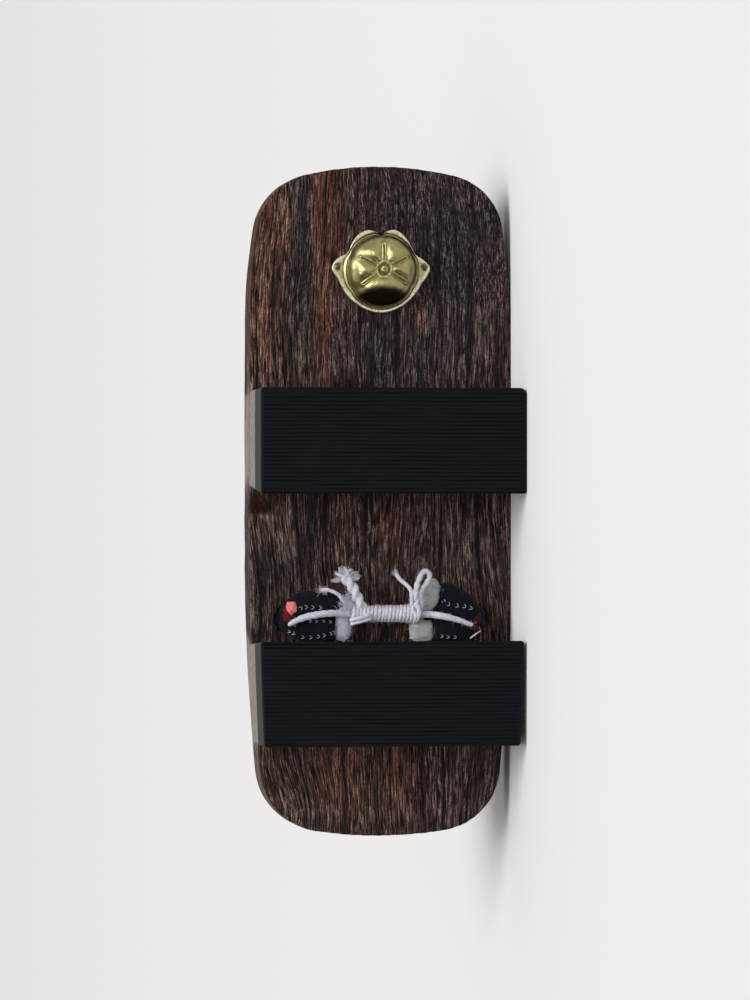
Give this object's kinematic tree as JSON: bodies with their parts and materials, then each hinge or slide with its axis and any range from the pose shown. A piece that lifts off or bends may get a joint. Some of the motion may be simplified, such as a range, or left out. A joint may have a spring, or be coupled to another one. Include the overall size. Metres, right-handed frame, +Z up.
{
  "type": "geta sandal",
  "caption": "Japanese wooden clog lying on its side: stained board on two rubber-shod teeth, padded cloth straps tied under the board, and a brass blossom cap over the front knot.",
  "frame": {"origin": "middle of the bottom of the clog's box, on the plane that the clog's side rests on", "axes": "+X towards the toe along the board, +Y towards the foot side (the treads face -Y), +Z up, across the board's width; the clog lies on its left long side"},
  "size_m": [0.265, 0.1032, 0.105],
  "materials": {
    "stained_wood": "burnt and stained, brushed grain",
    "bare_wood": "weathered pale grey",
    "rubber": "matte, finely ribbed",
    "brass": "stamped, satin",
    "strap_cloth": "woven, with small white stitches",
    "cotton_padding": "matte, fibrous",
    "cotton_cord": "twisted, fuzzy"
  },
  "bodies": {
    "root": {"board": "stained_wood", "front_tooth": "bare_wood", "rear_tooth": "bare_wood", "front_tread": "rubber", "rear_tread": "rubber", "toe_cap": "brass", "cap_nail_left": "brass", "cap_nail_right": "brass", "straps": "strap_cloth", "padding_right_heel": "cotton_padding", "padding_left_toe": "cotton_padding", "padding_left_heel": "cotton_padding", "tie_cord_right": "cotton_cord", "tie_cord_left": "cotton_cord", "tie_tail": "cotton_cord", "tie_loop": "cotton_cord", "tie_end": "cotton_cord", "tie_winding": "cotton_cord"}
  },
  "joints": []
}
